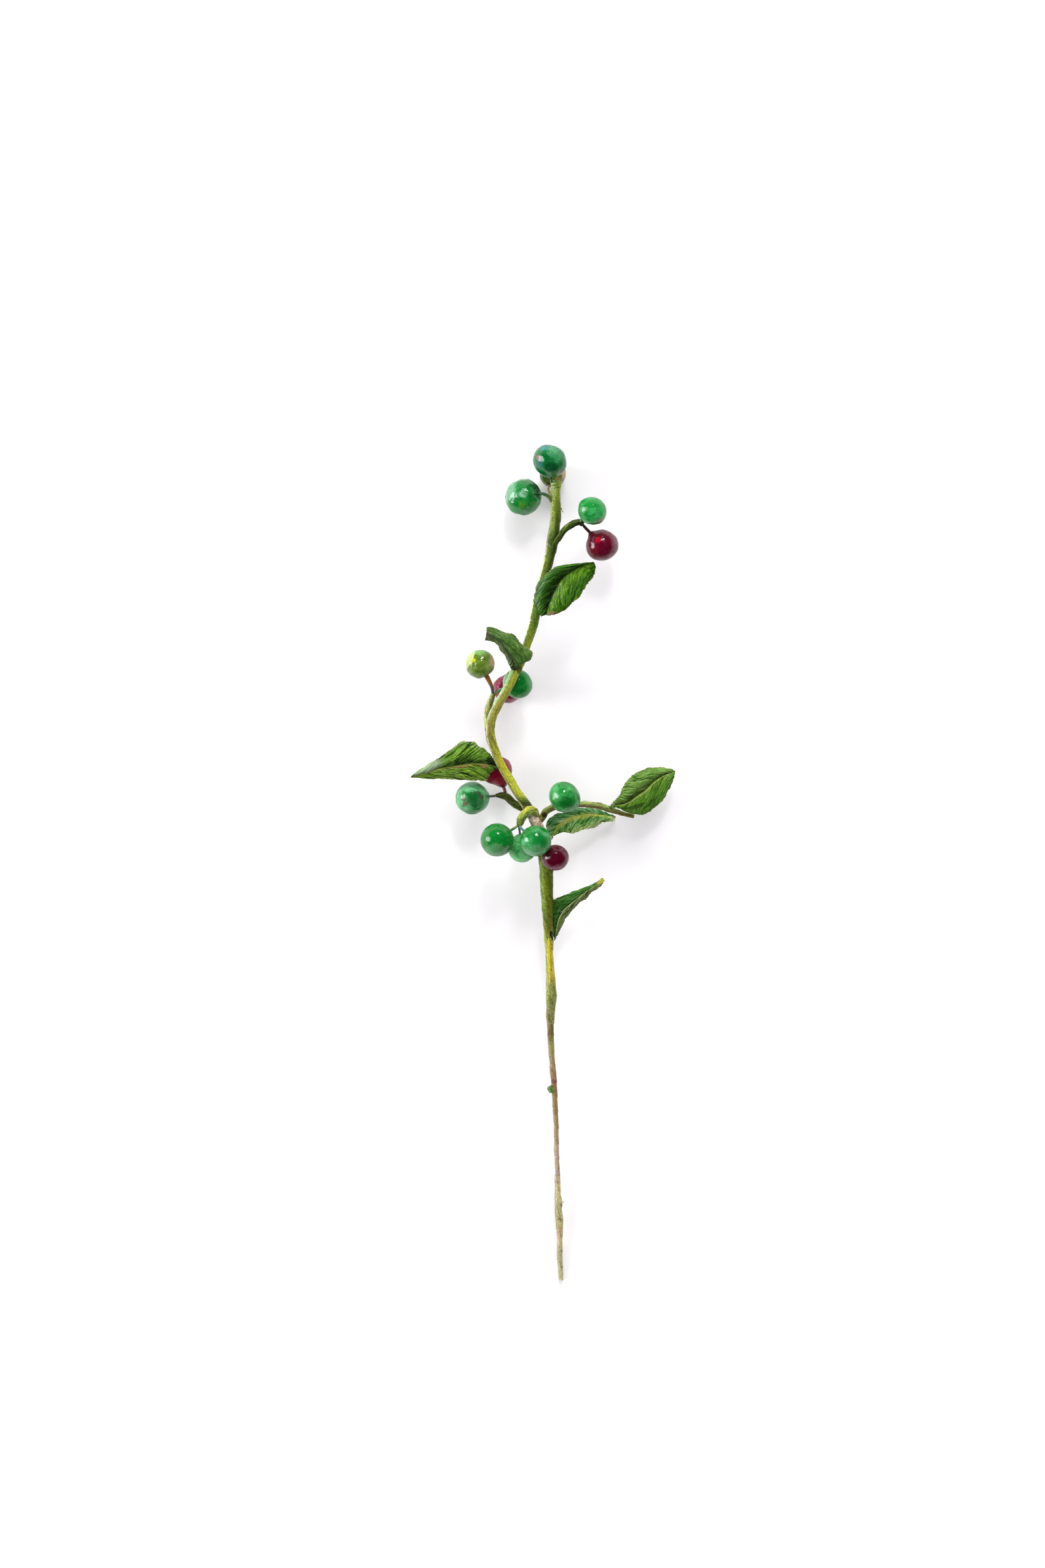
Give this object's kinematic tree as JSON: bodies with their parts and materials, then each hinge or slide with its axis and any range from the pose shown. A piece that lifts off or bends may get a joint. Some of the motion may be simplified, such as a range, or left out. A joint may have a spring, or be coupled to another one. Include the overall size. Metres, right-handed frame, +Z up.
{
  "type": "chokeberry sprig",
  "caption": "Cut chokeberry sprig lying on its side: a bound, gently curved stem with folded pointed leaves and round glossy green and dark red berries on short stalks.",
  "frame": {"origin": "middle of the sprig's bounding box at the level of the surface that it lies on", "axes": "+Y along the stem from the cut end towards the tip, +X to the right of the sprig seen from above, +Z up from the surface"},
  "size_m": [0.088, 0.2774, 0.029],
  "materials": {
    "stem": "crepe paper bound round the stem, painted olive green and brown",
    "leaf": "ribbed crepe paper, painted dark green and varnished",
    "leaf_stalk": "flat painted paper strip",
    "berry_green": "painted green with a milky bloom, glossy varnish",
    "berry_olive": "painted yellow green, glossy varnish",
    "berry_red": "painted dark wine red, glossy varnish",
    "berry_stalk": "thin painted stalk"
  },
  "bodies": {
    "root": {"stem_foot": "stem", "stem_lower": "stem", "stem_upper": "stem", "twig_top_right": "stem", "twig_bend": "stem", "twig_left": "stem", "twig_middle": "stem", "twig_right": "stem", "leaf_top": "leaf", "leaf_middle": "leaf", "leaf_side": "leaf", "leaf_branch": "leaf", "leaf_fork": "leaf", "leaf_low": "leaf", "leaf_stalk_middle": "leaf_stalk", "leaf_stalk_side": "leaf_stalk", "leaf_stalk_fork": "leaf_stalk", "leaf_stalk_low": "leaf_stalk", "bud_scale": "leaf_stalk", "berry_tip_front": "berry_green", "berry_tip_back": "berry_olive", "berry_tip_left": "berry_green", "berry_right_green": "berry_green", "berry_right_red": "berry_red", "berry_bend_yellow": "berry_olive", "berry_bend_red": "berry_red", "berry_bend_green": "berry_green", "berry_side_red": "berry_red", "berry_side_green": "berry_green", "berry_fork_left": "berry_green", "berry_fork_back": "berry_green", "berry_fork_front": "berry_green", "berry_fork_red": "berry_red", "berry_branch_green": "berry_green", "stalk_tip_front": "berry_stalk", "stalk_tip_back": "berry_stalk", "stalk_tip_left": "berry_stalk", "stalk_right_green": "berry_stalk", "stalk_right_red": "berry_stalk", "stalk_bend_yellow": "berry_stalk", "stalk_bend_red": "berry_stalk", "stalk_bend_green": "berry_stalk", "stalk_side_red": "berry_stalk", "stalk_side_green": "berry_stalk", "stalk_fork_left": "berry_stalk", "stalk_fork_back": "berry_stalk", "stalk_fork_front": "berry_stalk", "stalk_fork_red": "berry_stalk", "stalk_branch_green": "berry_stalk"}
  },
  "joints": []
}
